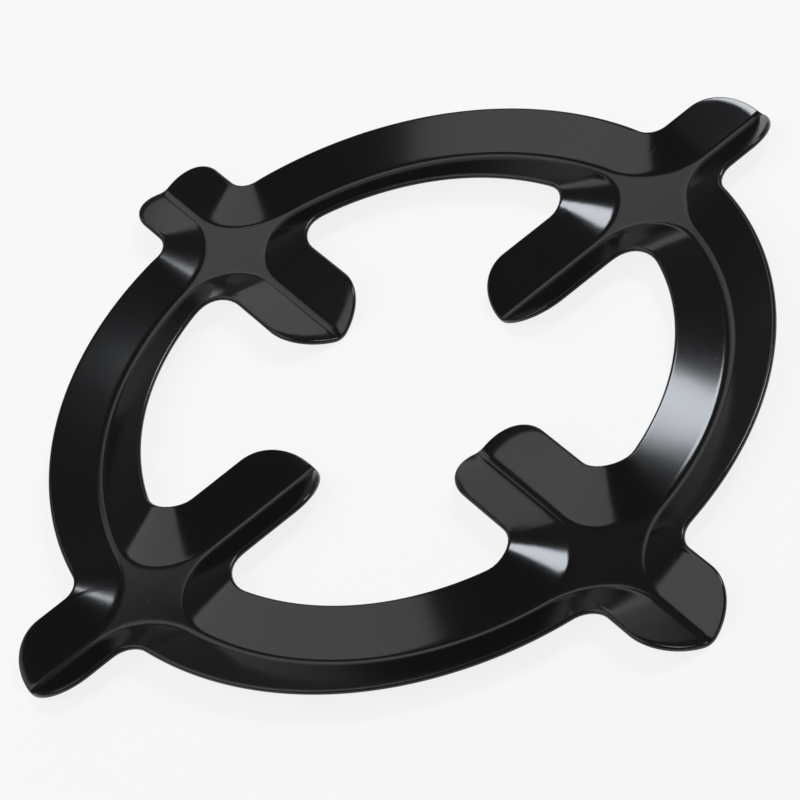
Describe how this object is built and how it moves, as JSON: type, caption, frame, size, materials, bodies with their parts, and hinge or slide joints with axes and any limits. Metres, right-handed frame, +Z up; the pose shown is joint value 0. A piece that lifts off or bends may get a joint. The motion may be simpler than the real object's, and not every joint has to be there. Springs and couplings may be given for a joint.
{
  "type": "stove reducer ring",
  "caption": "Pressed enamelled steel reducer ring for a gas hob: a creased round band with radial arms that carry a small pot over a large burner.",
  "frame": {"origin": "centre of the ring, on the surface that it lies on", "axes": "+Z up out of the hollow side of the sheet, arms along X and Y"},
  "size_m": [0.1512, 0.1512, 0.0045],
  "materials": {
    "black_enamel": "glossy black vitreous enamel over sheet steel, slightly wavy, with fine specks"
  },
  "bodies": {
    "root": {"reducer_ring": "black_enamel"}
  },
  "joints": []
}
